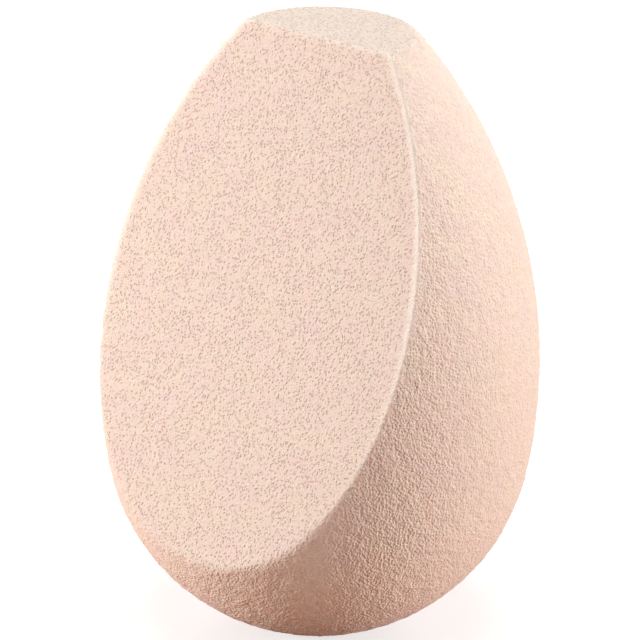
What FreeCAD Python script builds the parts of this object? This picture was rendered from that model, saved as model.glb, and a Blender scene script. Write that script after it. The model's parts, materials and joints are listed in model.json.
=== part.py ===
"""Makeup sponge: one egg of soft foam, cut flat along a slant and flat across its tip.

Millimetres and degrees. +Z runs up the egg's axis, from the wide end to the tip. The origin is the centre of the
small flat that the sponge stands on, and the slanted cut faces -Y.
"""
import FreeCAD, Part
import math
import os
import Sketcher

# Driving dimensions of the sponge.
SIZES = {
    "belly_diameter": 43.0,    # widest circle of the egg
    "belly_height": 26.3,      # height of that circle above the base flat
    "standing_height": 60.6,   # from the base flat to the tip flat
    "tip_diameter": 17.8,      # circle that the egg narrows to at the tip flat
    "base_flat_depth": 0.5,    # how much of the round end is pressed flat where it stands
    "cut_tilt": 19.7,          # degrees that the slanted cut leans back from the axis
    "cut_tip_offset": 1.35,    # distance in front of the axis at which the cut meets the tip flat
    "edge_round": 0.6,         # rounding of the foam along the rims of the two cuts
    "cut_overrun": 2.0,        # how far the cutting outline reaches past the foam
}

# Point positions on a sketch element, and the sketch's own axes and origin.
START, END, CENTRE = range(1, 4)
HORIZONTAL_AXIS, VERTICAL_AXIS = range(-1, -3, -1)
ORIGIN = (HORIZONTAL_AXIS, START)

# Up the egg's axis, and, in a sketch's own frame, square to the sketch.
UP = FreeCAD.Vector(0, 0, 1)


def make_sheet(doc):
    """Write the driving dimensions into a spreadsheet, one aliased cell each."""
    sheet = doc.addObject("Spreadsheet::Sheet", "sizes")
    for row, (name, value) in enumerate(SIZES.items(), start=1):
        sheet.set(f"A{row}", name)
        sheet.set(f"B{row}", str(value))
        sheet.setAlias(f"B{row}", name)
    doc.recompute()
    return sheet


def point(x, y):
    """A point in a sketch's plane."""
    return FreeCAD.Vector(x, y, 0)


def sketch_on(body, plane_role, name):
    """A new sketch on one of the body's own origin planes."""
    plane = next(item for item in body.Origin.OriginFeatures if item.Role == plane_role)
    sketch = body.newObject("Sketcher::SketchObject", name)
    sketch.AttachmentSupport = [(plane, "")]
    sketch.MapMode = "FlatFace"
    return sketch


def relate(sketch, kind, *elements):
    """Add a geometric constraint."""
    sketch.addConstraint(Sketcher.Constraint(kind, *elements))


def dimension(sketch, name, expression, kind, *elements_and_value):
    """Add a dimension, name it and bind it to the sheet."""
    index = sketch.addConstraint(Sketcher.Constraint(kind, *elements_and_value))
    sketch.renameConstraint(index, name)
    sketch.setExpression(f"Constraints.{name}", expression)


def draw_egg_profile(body):
    """Half of the egg's section: base flat, round base, long flank and tip flat, closed by the axis."""
    belly_radius = SIZES["belly_diameter"] / 2
    belly_height = SIZES["belly_height"]
    standing_height = SIZES["standing_height"]
    tip_radius = SIZES["tip_diameter"] / 2
    flat_depth = SIZES["base_flat_depth"]

    # The flank is the arc that rises upright from the belly and ends at the rim of the tip.
    taper = belly_radius - tip_radius
    tip_rise = standing_height - belly_height
    flank_radius = (taper**2 + tip_rise**2) / (2 * taper)
    flank_inset = flank_radius - belly_radius

    # The round base is the circle on the axis that passes through the egg's lowest point, just below the flat,
    # and runs into the flank without a corner.
    belly_rise = belly_height + flat_depth
    base_radius = (flank_radius**2 - flank_inset**2 - belly_rise**2) / (2 * (flank_radius - belly_rise))
    base_centre = base_radius - flat_depth
    flat_angle = math.asin(-base_centre / base_radius)
    joint_angle = math.atan2(base_centre - belly_height, flank_inset)
    tip_angle = math.asin(tip_rise / flank_radius)
    flat_radius = base_radius * math.cos(flat_angle)

    sketch = sketch_on(body, "XZ_Plane", "egg_profile")
    axis = sketch.addGeometry(Part.LineSegment(point(0, 0), point(0, standing_height)))
    base_flat = sketch.addGeometry(Part.LineSegment(point(0, 0), point(flat_radius, 0)))
    base_circle = Part.Circle(point(0, base_centre), UP, base_radius)
    base_arc = sketch.addGeometry(Part.ArcOfCircle(base_circle, flat_angle, joint_angle))
    flank_circle = Part.Circle(point(-flank_inset, belly_height), UP, flank_radius)
    flank_arc = sketch.addGeometry(Part.ArcOfCircle(flank_circle, joint_angle, tip_angle))
    tip_ends = (point(tip_radius, standing_height), point(0, standing_height))
    tip_flat = sketch.addGeometry(Part.LineSegment(*tip_ends))
    lowest_point = sketch.addGeometry(Part.Point(point(0, -flat_depth)), True)
    widest_point = sketch.addGeometry(Part.Point(point(belly_radius, belly_height)), True)

    relate(sketch, "Coincident", axis, START, *ORIGIN)
    relate(sketch, "Vertical", axis)
    relate(sketch, "Coincident", base_flat, START, axis, START)
    relate(sketch, "Horizontal", base_flat)
    relate(sketch, "Coincident", base_flat, END, base_arc, START)
    relate(sketch, "PointOnObject", base_arc, CENTRE, VERTICAL_AXIS)
    relate(sketch, "Tangent", base_arc, END, flank_arc, START)
    relate(sketch, "Coincident", flank_arc, END, tip_flat, START)
    relate(sketch, "Horizontal", tip_flat)
    relate(sketch, "Coincident", tip_flat, END, axis, END)
    relate(sketch, "PointOnObject", lowest_point, START, VERTICAL_AXIS)
    relate(sketch, "PointOnObject", lowest_point, START, base_arc)
    relate(sketch, "PointOnObject", widest_point, START, flank_arc)
    relate(sketch, "Horizontal", widest_point, START, flank_arc, CENTRE)
    dimension(sketch, "flat_depth", "sizes.base_flat_depth",
              "DistanceY", lowest_point, START, *ORIGIN, flat_depth)
    dimension(sketch, "belly_height", "sizes.belly_height",
              "DistanceY", *ORIGIN, widest_point, START, belly_height)
    dimension(sketch, "belly_radius", "sizes.belly_diameter / 2",
              "DistanceX", *ORIGIN, widest_point, START, belly_radius)
    dimension(sketch, "tip_radius", "sizes.tip_diameter / 2",
              "DistanceX", tip_flat, END, tip_flat, START, tip_radius)
    dimension(sketch, "standing_height", "sizes.standing_height",
              "DistanceY", axis, START, axis, END, standing_height)
    return sketch


def draw_cut_outline(body):
    """Side view of what the slanted cut takes away: a triangle in front of the cut's line."""
    standing_height = SIZES["standing_height"]
    overrun = SIZES["cut_overrun"]
    tip_offset = SIZES["cut_tip_offset"]
    tilt = math.radians(SIZES["cut_tilt"])
    front = SIZES["belly_diameter"] / 2 + overrun
    top = standing_height + overrun
    top_back = point(overrun * math.tan(tilt) - tip_offset, top)
    top_front = point(-front, top)
    low_front = point(-front, standing_height - (front - tip_offset) / math.tan(tilt))

    sketch = sketch_on(body, "YZ_Plane", "cut_outline")
    cut_line = sketch.addGeometry(Part.LineSegment(low_front, top_back))
    top_line = sketch.addGeometry(Part.LineSegment(top_back, top_front))
    front_line = sketch.addGeometry(Part.LineSegment(top_front, low_front))
    tip_edge = sketch.addGeometry(Part.Point(point(-tip_offset, standing_height)), True)

    relate(sketch, "Coincident", cut_line, END, top_line, START)
    relate(sketch, "Coincident", top_line, END, front_line, START)
    relate(sketch, "Coincident", front_line, END, cut_line, START)
    relate(sketch, "Horizontal", top_line)
    relate(sketch, "Vertical", front_line)
    relate(sketch, "PointOnObject", tip_edge, START, cut_line)
    dimension(sketch, "tip_offset", "sizes.cut_tip_offset",
              "DistanceX", tip_edge, START, *ORIGIN, tip_offset)
    dimension(sketch, "tip_height", "sizes.standing_height",
              "DistanceY", *ORIGIN, tip_edge, START, standing_height)
    dimension(sketch, "front_reach", "sizes.belly_diameter / 2 + sizes.cut_overrun",
              "DistanceX", top_line, END, *ORIGIN, front)
    dimension(sketch, "top_reach", "sizes.standing_height + sizes.cut_overrun",
              "DistanceY", *ORIGIN, top_line, END, top)
    dimension(sketch, "lean", "sizes.cut_tilt * 1 deg",
              "Angle", cut_line, START, front_line, END, tilt)
    return sketch


def flat_face_towards(shape, direction):
    """The planar face whose outward normal points furthest along a direction."""
    flats = [face for face in shape.Faces if isinstance(face.Surface, Part.Plane)]
    return max(flats, key=lambda face: face.normalAt(0, 0).dot(direction))


def rim_names(shape, faces):
    """Names of the edges that bound any of the given faces."""
    rims = [edge for face in faces for edge in face.Edges]
    numbered = enumerate(shape.Edges, start=1)
    return [f"Edge{number}" for number, edge in numbered if any(edge.isSame(rim) for rim in rims)]


def make_foam_body(doc):
    """The sponge itself: the turned egg, the slanted cut, and the soft rims of the cut and the tip."""
    body = doc.addObject("PartDesign::Body", "foam_body")
    body.Label = "foam_body"

    egg = body.newObject("PartDesign::Revolution", "egg")
    egg.Profile = draw_egg_profile(body)
    egg.ReferenceAxis = (egg.Profile[0], ["V_Axis"])
    doc.recompute()
    egg_volume = egg.Shape.Volume

    cut = body.newObject("PartDesign::Pocket", "slanted_cut")
    cut.Profile = draw_cut_outline(body)
    cut.Type = "ThroughAll"
    cut.SideType = "Symmetric"
    doc.recompute()
    if cut.Shape.Volume >= egg_volume:
        raise RuntimeError("the slanted cut removed nothing")

    tilt = math.radians(SIZES["cut_tilt"])
    cut_face = flat_face_towards(cut.Shape, FreeCAD.Vector(0, -math.cos(tilt), math.sin(tilt)))
    tip_face = flat_face_towards(cut.Shape, UP)
    rims = body.newObject("PartDesign::Fillet", "soft_rims")
    rims.Base = (cut, rim_names(cut.Shape, [cut_face, tip_face]))
    rims.setExpression("Radius", "sizes.edge_round")
    doc.recompute()
    return body


def check_document(doc, bodies):
    """Stop if any object failed to build, or a body isn't one valid solid."""
    for item in doc.Objects:
        if {"Invalid", "Error"} & set(item.State):
            raise RuntimeError(f"{item.Name} did not build: {item.State}")
    for body in bodies:
        shape = body.Shape
        if shape.isNull() or not shape.isValid() or len(shape.Solids) != 1:
            raise RuntimeError(f"{body.Label} isn't one valid solid")


def main():
    doc = FreeCAD.newDocument("makeup_sponge")
    make_sheet(doc)
    bodies = [make_foam_body(doc)]
    check_document(doc, bodies)
    os.makedirs("parts", exist_ok=True)
    for body in bodies:
        body.Shape.exportStep(os.path.join("parts", f"{body.Label}.step"))
        box = body.Shape.optimalBoundingBox(False, False)
        print(f"{body.Label}: {box.XLength:.2f} x {box.YLength:.2f} x {box.ZLength:.2f} mm,"
              f" {body.Shape.Volume:.0f} mm3")


main()
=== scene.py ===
"""Makeup sponge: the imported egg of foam, dressed as open-cell foam with two blade cuts and a ground outside.

Metres, in the part's own frame: +Z runs up the egg's axis, the slanted cut faces -Y, and the sponge stands
on z = 0.
"""
import bpy
import itertools
import json
import math
import numpy as np
from mathutils import Matrix, Vector


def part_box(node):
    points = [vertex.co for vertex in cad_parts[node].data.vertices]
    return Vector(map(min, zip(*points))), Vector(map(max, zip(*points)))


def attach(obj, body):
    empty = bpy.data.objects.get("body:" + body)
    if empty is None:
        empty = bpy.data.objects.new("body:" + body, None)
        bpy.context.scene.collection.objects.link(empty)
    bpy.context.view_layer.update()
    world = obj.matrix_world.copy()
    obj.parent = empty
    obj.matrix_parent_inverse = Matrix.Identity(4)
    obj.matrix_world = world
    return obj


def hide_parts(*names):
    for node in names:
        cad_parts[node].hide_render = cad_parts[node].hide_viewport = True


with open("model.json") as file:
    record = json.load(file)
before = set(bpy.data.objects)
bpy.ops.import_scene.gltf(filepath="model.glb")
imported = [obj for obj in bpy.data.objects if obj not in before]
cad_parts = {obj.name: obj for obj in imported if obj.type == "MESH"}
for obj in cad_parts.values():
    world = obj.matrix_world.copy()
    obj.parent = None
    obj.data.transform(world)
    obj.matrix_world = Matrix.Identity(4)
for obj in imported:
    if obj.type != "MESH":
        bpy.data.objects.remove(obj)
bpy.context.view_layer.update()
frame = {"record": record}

MM = 0.001
SEED = 11

# The egg: its widest radius and its height from the part, and the sizes that the part's box doesn't hold.
_, high_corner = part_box("foam_body")
BELLY_RADIUS = high_corner.x
STANDING_HEIGHT = high_corner.z
BELLY_HEIGHT = 26.3 * MM
TIP_RADIUS = 8.9 * MM
BASE_FLAT_DEPTH = 0.5 * MM

# The flank is the arc that rises upright from the belly and ends at the rim of the tip.
TAPER = BELLY_RADIUS - TIP_RADIUS
TIP_RISE = STANDING_HEIGHT - BELLY_HEIGHT
FLANK_RADIUS = (TAPER**2 + TIP_RISE**2) / (2 * TAPER)
FLANK_INSET = FLANK_RADIUS - BELLY_RADIUS

# The round base is the circle on the axis that runs into the flank without a corner.
BELLY_RISE = BELLY_HEIGHT + BASE_FLAT_DEPTH
BASE_RADIUS = (FLANK_RADIUS**2 - FLANK_INSET**2 - BELLY_RISE**2) / (2 * (FLANK_RADIUS - BELLY_RISE))
BASE_CENTRE = BASE_RADIUS - BASE_FLAT_DEPTH

# Rounding of the foam along its rims, and the sharper one that takes over up the sides of the cut, between
# two heights.
RIM_ROUND = 0.40 * MM
SIDE_ROUND = 0.16 * MM
SIDE_START = (14 * MM, 26 * MM)

# The band of painted highlight along the sides of the cut, where the rim catches light and glows.
BAND_INSET = 0.22 * MM                 # how far inside the rim its middle lies
BAND_WIDTH = 0.34 * MM                 # how far it fades to either side of that
BAND_REACH = (-0.5 * MM, -0.2 * MM)    # the depths it comes in between, which keep it off the tip face
BAND_START = (20 * MM, 40 * MM)        # the heights it comes in between
BAND_SMOOTHING = 0.4                   # how much of the grain it takes away

# The mesh: a box of quads that is blown up into the egg, along rays from a point inside it.
GRID = np.array([360, 320, 500])           # quads along each axis of the box
HEART = np.array([0, 2, 28]) * MM          # the point that the rays leave from
STRETCH = np.array([21.5, 20, 30]) * MM    # half the size of the box
REACH = 2.5                                # how far along a ray the foam's surface is looked for
HALVINGS = 24                              # how often that length is halved
EVENNESS = math.radians(36)                # evens out the quads between a side's middle and its edges
CHART_SHARE = 0.98                         # how much of its cell in the map each side of the box fills

# Grains of the foam: the pitch and the height of two sizes of them, and how much of them the blade leaves.
GRAINS = ((0.40 * MM, 0.04 * MM), (0.80 * MM, 0.05 * MM))
GRAIN_LEFT_BY_BLADE = 0.2

# How much finer detail the material's smooth noise has.
NOISE_DETAIL = 1

# Finer relief, in the material: grains everywhere, pits where the blade opened the foam, dimples elsewhere.
# The edge and floor of a pit or dimple are distances from its middle, as shares of the pitch, and its shade
# is how much of the painted shade of its hollow its floor takes on.
FINE_GRAIN_PITCH = 0.16 * MM
FINE_GRAIN_HEIGHT = 0.09 * MM
PIT_PITCH = 0.30 * MM
PIT_EDGE_AND_FLOOR = (0.47, 0.12)
PIT_DEPTH = 0.06 * MM
PIT_SHADE = 0.62
DIMPLE_PITCH = 0.30 * MM
DIMPLE_EDGE_AND_FLOOR = (0.65, 0.10)
DIMPLE_DEPTH = 0.08 * MM
DIMPLE_SHADE = 0.15

# Colours of the foam: two that its mottling runs between, its cut tip, whose own creamier tint carries painted
# light from the top lamp, the painted highlight of the band, and the painted shade of its pits and dimples.
MOTTLE_PITCH = 2.6 * MM
MOTTLE_RANGE = (0.35, 0.65)
ROSY_FOAM = (0.89, 0.71, 0.625)
SANDY_FOAM = (0.89, 0.735, 0.615)
TIP_TINT_AND_PAINTED_TOP_LIGHT = (0.98, 0.82, 0.70)
RIM_PAINTED_HIGHLIGHT = (1.0, 0.88, 0.77)
PIT_PAINTED_SHADE = (0.53, 0.37, 0.30)
DIMPLE_PAINTED_SHADE = (0.62, 0.36, 0.27)

# How the foam takes light: a dull surface, and a share of the light travels on inside it, red furthest.
FOAM_ROUGHNESS = 0.9
FOAM_SHINE = 0.3
SCATTER_SHARE = 0.12
SCATTER_BY_COLOUR = (1.0, 0.4, 0.25)
SCATTER_REACH = 3 * MM

# The camera: where it stands around the sponge in degrees, its roll, its distance, the point it looks at, and
# its sensor and lens in millimetres.
CAMERA_AZIMUTH = 37.04
CAMERA_ELEVATION = 20.9
CAMERA_ROLL = math.radians(1.04)
CAMERA_DISTANCE = 500 * MM
CAMERA_TARGET = Vector((-0.045, -0.034, 31.24)) * MM
SENSOR_WIDTH = 36
LENS = 288.2

# The softboxes: how high the middle of each kind is, and its size.
SIDE_BOX = dict(height=0.09, width=0.25, tall=0.16)
TOP_BOX = dict(height=0.50, width=0.35, tall=0.35)

# The floor: half its width, its colour to light that bounces off it, its colour when it is seen, and the glow
# that whitens it, which grows to full white between two distances from the sponge.
FLOOR_REACH = 4.0
FLOOR_BOUNCE = (0.42, 0.20, 0.12)
FLOOR_SEEN = (0.6, 0.6, 0.6)
FLOOR_GLOW = 0.62
FLOOR_FADE = (0.12, 0.5)

# Where one finish gives way to the next: how wide the change is, and how far and how often its line strays.
REGION_EDGE = 0.10 * MM
STRAY = 0.16 * MM
STRAY_PITCH = 0.5 * MM


def smooth_step(start, end, value):
    """0 before start, 1 after end, and a smooth ramp between."""
    ramp = np.clip((value - start) / (end - start), 0, 1)
    return ramp * ramp * (3 - 2 * ramp)


def soft_max(first, second, width):
    """The larger of two distances, blended over a width, which rounds the edge between two faces."""
    mix = np.clip(0.5 + (first - second) / (2 * width), 0, 1)
    return second + (first - second) * mix + width * mix * (1 - mix)


def mount_distance(name, points):
    """Signed distance of points from the plane of one of the part's mounts, positive outside."""
    mount = next(item for item in frame["record"]["mounts"] if item["name"] == name)
    return (points - np.array(mount["pos_m"])) @ np.array(mount["axis"])


def egg_distance(points):
    """Signed distance of points from the turned egg, positive outside."""
    radius = np.hypot(points[:, 0], points[:, 1])
    height = points[:, 2]
    flank = np.hypot(radius + FLANK_INSET, height - BELLY_HEIGHT) - FLANK_RADIUS
    base = np.hypot(radius, height - BASE_CENTRE) - BASE_RADIUS
    joint_line = (radius + FLANK_INSET) * (BASE_CENTRE - BELLY_HEIGHT)
    return np.where((height - BELLY_HEIGHT) * FLANK_INSET < joint_line, base, flank)


def foam_distance(points):
    """Signed distance of points from the cut foam, with soft rims."""
    side_share = smooth_step(*SIDE_START, points[:, 2])
    cut_round = RIM_ROUND + (SIDE_ROUND - RIM_ROUND) * side_share
    body = soft_max(egg_distance(points), mount_distance("base_rest", points), RIM_ROUND)
    body = soft_max(body, mount_distance("cut_face", points), cut_round)
    return soft_max(body, mount_distance("tip_face", points), RIM_ROUND)


def foam_normals(points):
    """Outward directions of the smooth foam at points on it."""
    step = 0.01 * MM
    slopes = [foam_distance(points + step * axis) - foam_distance(points - step * axis) for axis in np.eye(3)]
    normals = np.stack(slopes, axis=1)
    return normals / np.linalg.norm(normals, axis=1, keepdims=True)


def box_grid(counts):
    """A box's lattice points from -1 to 1, its outward quads, and each quad corner's place in a map."""
    keys, corners, places = [], [], []
    start = 0
    for side, (axis, end) in enumerate(itertools.product(range(3), (0, 1))):
        across, along = [other for other in range(3) if other != axis]
        lattice = np.zeros((counts[across] + 1, counts[along] + 1, 3), dtype=np.int64)
        lattice[..., axis] = end * counts[axis]
        lattice[..., across] = np.arange(counts[across] + 1)[:, None]
        lattice[..., along] = np.arange(counts[along] + 1)
        keys.append(np.ravel_multi_index(lattice.reshape(-1, 3).T, counts + 1))
        numbers = start + np.arange(len(keys[-1])).reshape(lattice.shape[:2])
        around = [numbers[:-1, :-1], numbers[1:, :-1], numbers[1:, 1:], numbers[:-1, 1:]]
        outwards = (axis == 1) != bool(end)
        corners.append(np.stack(around if outwards else around[::-1], axis=-1).reshape(-1, 4))
        chart = (lattice / counts)[..., [across, along]].reshape(-1, 2)
        places.append((chart * CHART_SHARE + (1 - CHART_SHARE) / 2 + [side % 3, side // 3]) / [3, 2])
        start += len(keys[-1])
    names, index = np.unique(np.concatenate(keys), return_inverse=True)
    lattice = np.stack(np.unravel_index(names, counts + 1), axis=1)
    corners = np.concatenate(corners)
    return 2 * lattice / counts - 1, index[corners], np.concatenate(places)[corners]


def blow_up(lattice):
    """Where rays from the heart of the foam, one for each lattice point, leave the smooth foam."""
    rays = np.tan(lattice * EVENNESS) / math.tan(EVENNESS) * STRETCH
    near = np.zeros((len(rays), 1))
    far = np.full((len(rays), 1), REACH)
    for _ in range(HALVINGS):
        middle = (near + far) / 2
        inside = foam_distance(HEART + middle * rays)[:, None] < 0
        near = np.where(inside, middle, near)
        far = np.where(inside, far, middle)
    return HEART + near * rays


def wander(points, pitch):
    """Smooth noise from -1 to 1 with a pitch in metres."""
    place = (points - points.min(axis=0)) / pitch
    cell = np.floor(place).astype(int)
    part = smooth_step(0, 1, place - cell)
    values = np.random.default_rng(SEED).uniform(-1, 1, cell.max(axis=0) + 2)
    total = np.zeros(len(points))
    for corner in itertools.product((0, 1), repeat=3):
        weight = np.where(corner, part, 1 - part).prod(axis=1)
        total += weight * values[tuple((cell + corner).T)]
    return total


def make_foam():
    """The sponge's mesh: the soft-rimmed egg with its grains, and what its material reads at each point."""
    lattice, quads, places = box_grid(GRID)
    points = blow_up(lattice)
    normals = foam_normals(points)

    ground = np.maximum(egg_distance(points), mount_distance("base_rest", points))
    cut = mount_distance("cut_face", points) + STRAY * wander(points, STRAY_PITCH)
    tip = mount_distance("tip_face", points)
    cut_share = smooth_step(-REGION_EDGE, REGION_EDGE, cut - np.maximum(ground, tip))
    tip_share = smooth_step(-REGION_EDGE, REGION_EDGE, tip - np.maximum(ground, cut))
    # The band of painted highlight by the cut's rim, where its edge catches light; it also smooths the grain
    # there.
    band = np.exp(-((cut - ground - BAND_INSET) / BAND_WIDTH) ** 2) * smooth_step(*BAND_START, points[:, 2])
    band *= smooth_step(*BAND_REACH, np.maximum(cut, ground))

    blade = cut_share + tip_share
    grain = sum(height * wander(points, pitch) for pitch, height in GRAINS)
    grain *= 1 - blade * (1 - GRAIN_LEFT_BY_BLADE)
    points = points + normals * (grain * (1 - BAND_SMOOTHING * band))[:, None]

    mesh = bpy.data.meshes.new("foam")
    mesh.from_pydata(points, [], quads)
    mesh.uv_layers.new(name="OFBake").uv.foreach_set("vector", places.ravel().astype(np.float32))
    layers = dict(blade=blade, tip=tip_share, rim=band)
    for name, values in layers.items():
        mesh.attributes.new(name, "FLOAT", "POINT").data.foreach_set("value", values.astype(np.float32))
    mesh.shade_smooth()
    piece = bpy.data.objects.new("foam", mesh)
    bpy.context.scene.collection.objects.link(piece)
    return piece


class Nodes:
    """A material's node tree, with short calls for the nodes that this scene uses."""

    def __init__(self, name):
        self.material = bpy.data.materials.new(name)
        self.material.use_nodes = True
        self.tree = self.material.node_tree
        self.shader = self.tree.nodes["Principled BSDF"]

    def add(self, kind, **settings):
        node = self.tree.nodes.new(kind)
        for name, value in settings.items():
            setattr(node, name, value)
        return node

    def link(self, source, target):
        self.tree.links.new(source, target)

    def attribute(self, name):
        return self.add("ShaderNodeAttribute", attribute_name=name).outputs["Fac"]

    def noise(self, pitch):
        """Smooth noise with a pitch in metres, in the object's own coordinates."""
        node = self.add("ShaderNodeTexNoise")
        node.inputs["Scale"].default_value = 1 / pitch
        node.inputs["Detail"].default_value = NOISE_DETAIL
        self.link(self.add("ShaderNodeTexCoord").outputs["Object"], node.inputs["Vector"])
        return node.outputs["Fac"]

    def cells(self, pitch):
        """Distance from the nearest of many scattered points, as a share of their pitch in metres."""
        node = self.add("ShaderNodeTexVoronoi")
        node.inputs["Scale"].default_value = 1 / pitch
        self.link(self.add("ShaderNodeTexCoord").outputs["Object"], node.inputs["Vector"])
        return node.outputs["Distance"]

    def math(self, operation, first, second):
        """Two numbers combined, the second one a socket or a fixed number."""
        node = self.add("ShaderNodeMath", operation=operation)
        self.link(first, node.inputs[0])
        if isinstance(second, bpy.types.NodeSocket):
            self.link(second, node.inputs[1])
        else:
            node.inputs[1].default_value = second
        return node.outputs[0]

    def ramp(self, source, start, end, low=0, high=1):
        """Low where source is start, high where it is end."""
        node = self.add("ShaderNodeMapRange")
        node.inputs["From Min"].default_value = start
        node.inputs["From Max"].default_value = end
        node.inputs["To Min"].default_value = low
        node.inputs["To Max"].default_value = high
        self.link(source, node.inputs["Value"])
        return node.outputs["Result"]

    def mix(self, share, first, second):
        """A colour between two, each a socket or a fixed colour."""
        node = self.add("ShaderNodeMix", data_type="RGBA")
        self.link(share, node.inputs["Factor"])
        for name, colour in ("A", first), ("B", second):
            socket = next(item for item in node.inputs if item.name == name and item.type == "RGBA")
            if isinstance(colour, bpy.types.NodeSocket):
                self.link(colour, socket)
            else:
                socket.default_value = (*colour, 1)
        return next(item for item in node.outputs if item.type == "RGBA")


def foam_material():
    """Peach foam: faintly mottled, painted shade in pits and dimples, a creamy tip with painted top light, a
    painted highlight by the cut's rim.
    """
    nodes = Nodes("peach_foam")
    # The rim attribute is the band of painted highlight along the cut's rim.
    blade, tip, rim = (nodes.attribute(name) for name in ("blade", "tip", "rim"))

    # Pits keep to the blade's faces and dimples to the rest, and both fade out under the band of painted
    # highlight.
    rough = nodes.ramp(rim, 1, 0)
    grain = nodes.noise(FINE_GRAIN_PITCH)
    pit = nodes.math("MULTIPLY", nodes.ramp(nodes.cells(PIT_PITCH), *PIT_EDGE_AND_FLOOR), blade)
    pit = nodes.math("MULTIPLY", pit, rough)
    ground = nodes.ramp(blade, 1, 0)
    dimple = nodes.math("MULTIPLY", nodes.ramp(nodes.cells(DIMPLE_PITCH), *DIMPLE_EDGE_AND_FLOOR), ground)
    dimple = nodes.math("MULTIPLY", dimple, rough)

    mottle = nodes.ramp(nodes.noise(MOTTLE_PITCH), *MOTTLE_RANGE)
    colour = nodes.mix(mottle, ROSY_FOAM, SANDY_FOAM)
    # The tip's own creamier tint, lightened with painted light from the top lamp.
    colour = nodes.mix(tip, colour, TIP_TINT_AND_PAINTED_TOP_LIGHT)
    # Painted highlight along the cut's rim, where the edge catches light and glows through.
    colour = nodes.mix(rim, colour, RIM_PAINTED_HIGHLIGHT)
    # Painted shade in the dimples, darker and redder where light is hidden and bounces inside them.
    colour = nodes.mix(nodes.math("MULTIPLY", dimple, DIMPLE_SHADE), colour, DIMPLE_PAINTED_SHADE)
    # Painted shade in the pits, darker and redder where light is hidden inside them.
    colour = nodes.mix(nodes.math("MULTIPLY", pit, PIT_SHADE), colour, PIT_PAINTED_SHADE)
    nodes.link(colour, nodes.shader.inputs["Base Color"])

    height = nodes.math("MULTIPLY", grain, FINE_GRAIN_HEIGHT)
    height = nodes.math("ADD", height, nodes.math("MULTIPLY", dimple, -DIMPLE_DEPTH))
    height = nodes.math("ADD", height, nodes.math("MULTIPLY", pit, -PIT_DEPTH))
    # The heights are in metres already, so the bump leaves them at their own scale.
    bump = nodes.add("ShaderNodeBump")
    bump.inputs["Distance"].default_value = 1
    nodes.link(height, bump.inputs["Height"])
    nodes.link(bump.outputs["Normal"], nodes.shader.inputs["Normal"])

    shader = nodes.shader.inputs
    shader["Roughness"].default_value = FOAM_ROUGHNESS
    shader["Specular IOR Level"].default_value = FOAM_SHINE
    shader["Subsurface Weight"].default_value = SCATTER_SHARE
    shader["Subsurface Radius"].default_value = SCATTER_BY_COLOUR
    shader["Subsurface Scale"].default_value = SCATTER_REACH
    return nodes.material


def direction(azimuth, elevation):
    """Unit vector towards an azimuth, counted from -Y towards +X, and an elevation, both in degrees."""
    turn, lift = math.radians(azimuth), math.radians(elevation)
    return Vector((math.sin(turn) * math.cos(lift), -math.cos(turn) * math.cos(lift), math.sin(lift)))


def add_camera():
    """The photograph's view: a long lens from the front right, slightly above, with a slight roll."""
    back = direction(CAMERA_AZIMUTH, CAMERA_ELEVATION)
    right = direction(CAMERA_AZIMUTH + 90, 0)
    up = back.cross(right)
    camera = bpy.data.cameras.new("camera")
    camera.sensor_width = SENSOR_WIDTH
    camera.lens = LENS
    piece = bpy.data.objects.new("camera", camera)
    leaned_right = right * math.cos(CAMERA_ROLL) + up * math.sin(CAMERA_ROLL)
    leaned_up = up * math.cos(CAMERA_ROLL) - right * math.sin(CAMERA_ROLL)
    turned = Matrix((leaned_right, leaned_up, back)).transposed()
    piece.matrix_world = Matrix.Translation(CAMERA_TARGET + back * CAMERA_DISTANCE) @ turned.to_4x4()
    bpy.context.scene.collection.objects.link(piece)
    bpy.context.scene.camera = piece


def add_softbox(name, azimuth, distance, height, width, tall, power):
    """A soft light at a height above the floor, turned to the middle of the sponge."""
    lamp = bpy.data.lights.new(name, "AREA")
    lamp.shape = "RECTANGLE"
    lamp.size = width
    lamp.size_y = tall
    lamp.energy = power
    piece = bpy.data.objects.new(name, lamp)
    piece.location = direction(azimuth, 0) * distance + Vector((0, 0, height))
    facing = piece.location - Vector((0, 0, STANDING_HEIGHT / 2))
    piece.rotation_euler = facing.to_track_quat("Z", "Y").to_euler()
    bpy.context.scene.collection.objects.link(piece)


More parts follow.
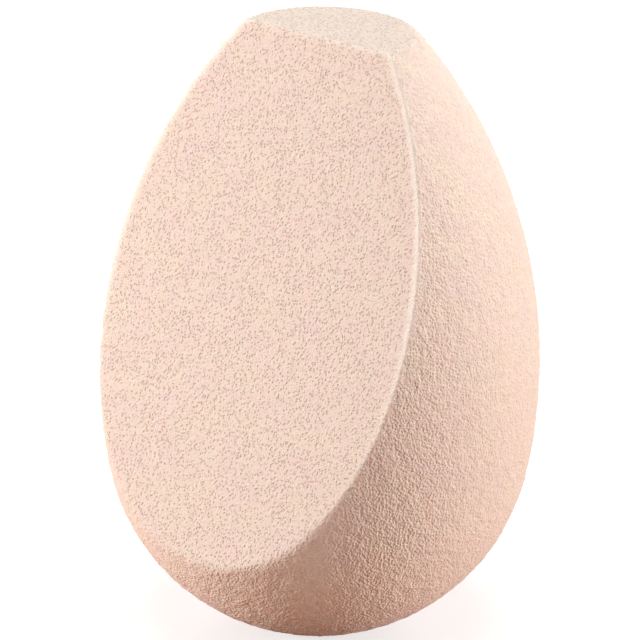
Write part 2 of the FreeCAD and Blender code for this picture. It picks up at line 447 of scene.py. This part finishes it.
def seen_directly(nodes):
    """1 for rays from the camera or off something shiny or clear, 0 for light on its way to the object."""
    path = nodes.new("ShaderNodeLightPath")
    total = path.outputs["Is Camera Ray"]
    for name in "Is Glossy Ray", "Is Transmission Ray":
        adder = nodes.new("ShaderNodeMath")
        adder.operation = "MAXIMUM"
        adder.id_data.links.new(total, adder.inputs[0])
        adder.id_data.links.new(path.outputs[name], adder.inputs[1])
        total = adder.outputs[0]
    return total


def add_floor():
    """A pale floor that shows white with the sponge's shadow, and sends a little warm light back up."""
    signs = ((-1, -1), (1, -1), (1, 1), (-1, 1))
    corners = [(x * FLOOR_REACH, y * FLOOR_REACH, 0) for x, y in signs]
    mesh = bpy.data.meshes.new("floor")
    mesh.from_pydata(corners, [], [(0, 1, 2, 3)])
    piece = bpy.data.objects.new("floor", mesh)
    bpy.context.scene.collection.objects.link(piece)
    nodes = Nodes("floor")
    seen = seen_directly(nodes.tree.nodes)
    nodes.link(nodes.mix(seen, FLOOR_BOUNCE, FLOOR_SEEN), nodes.shader.inputs["Base Color"])
    nodes.shader.inputs["Roughness"].default_value = 1
    nodes.shader.inputs["Specular IOR Level"].default_value = 0
    nodes.shader.inputs["Emission Color"].default_value = (1, 1, 1, 1)
    away = nodes.add("ShaderNodeVectorMath", operation="LENGTH")
    nodes.link(nodes.add("ShaderNodeTexCoord").outputs["Object"], away.inputs[0])
    glow = nodes.ramp(away.outputs["Value"], *FLOOR_FADE, low=FLOOR_GLOW)
    nodes.link(nodes.math("MULTIPLY", seen, glow), nodes.shader.inputs["Emission Strength"])
    mesh.materials.append(nodes.material)


def add_world():
    """White where it is seen, and no light on the sponge."""
    world = bpy.data.worlds.new("studio")
    world.use_nodes = True
    bpy.context.scene.world = world
    nodes = world.node_tree.nodes
    background = nodes["Background"]
    background.inputs["Color"].default_value = (1, 1, 1, 1)
    world.node_tree.links.new(seen_directly(nodes), background.inputs["Strength"])


foam = make_foam()
foam.data.materials.append(foam_material())
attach(foam, "root")
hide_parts("foam_body")

add_camera()
add_softbox("left", azimuth=-44, distance=0.44, power=2.05, **SIDE_BOX)
add_softbox("right", azimuth=112, distance=0.45, power=1.78, **SIDE_BOX)
add_softbox("back", azimuth=-150, distance=0.45, power=1.45, **SIDE_BOX)
add_softbox("top", azimuth=37, distance=0.01, power=1.63, **TOP_BOX)
add_floor()
add_world()
bpy.context.scene.view_settings.view_transform = "Standard"
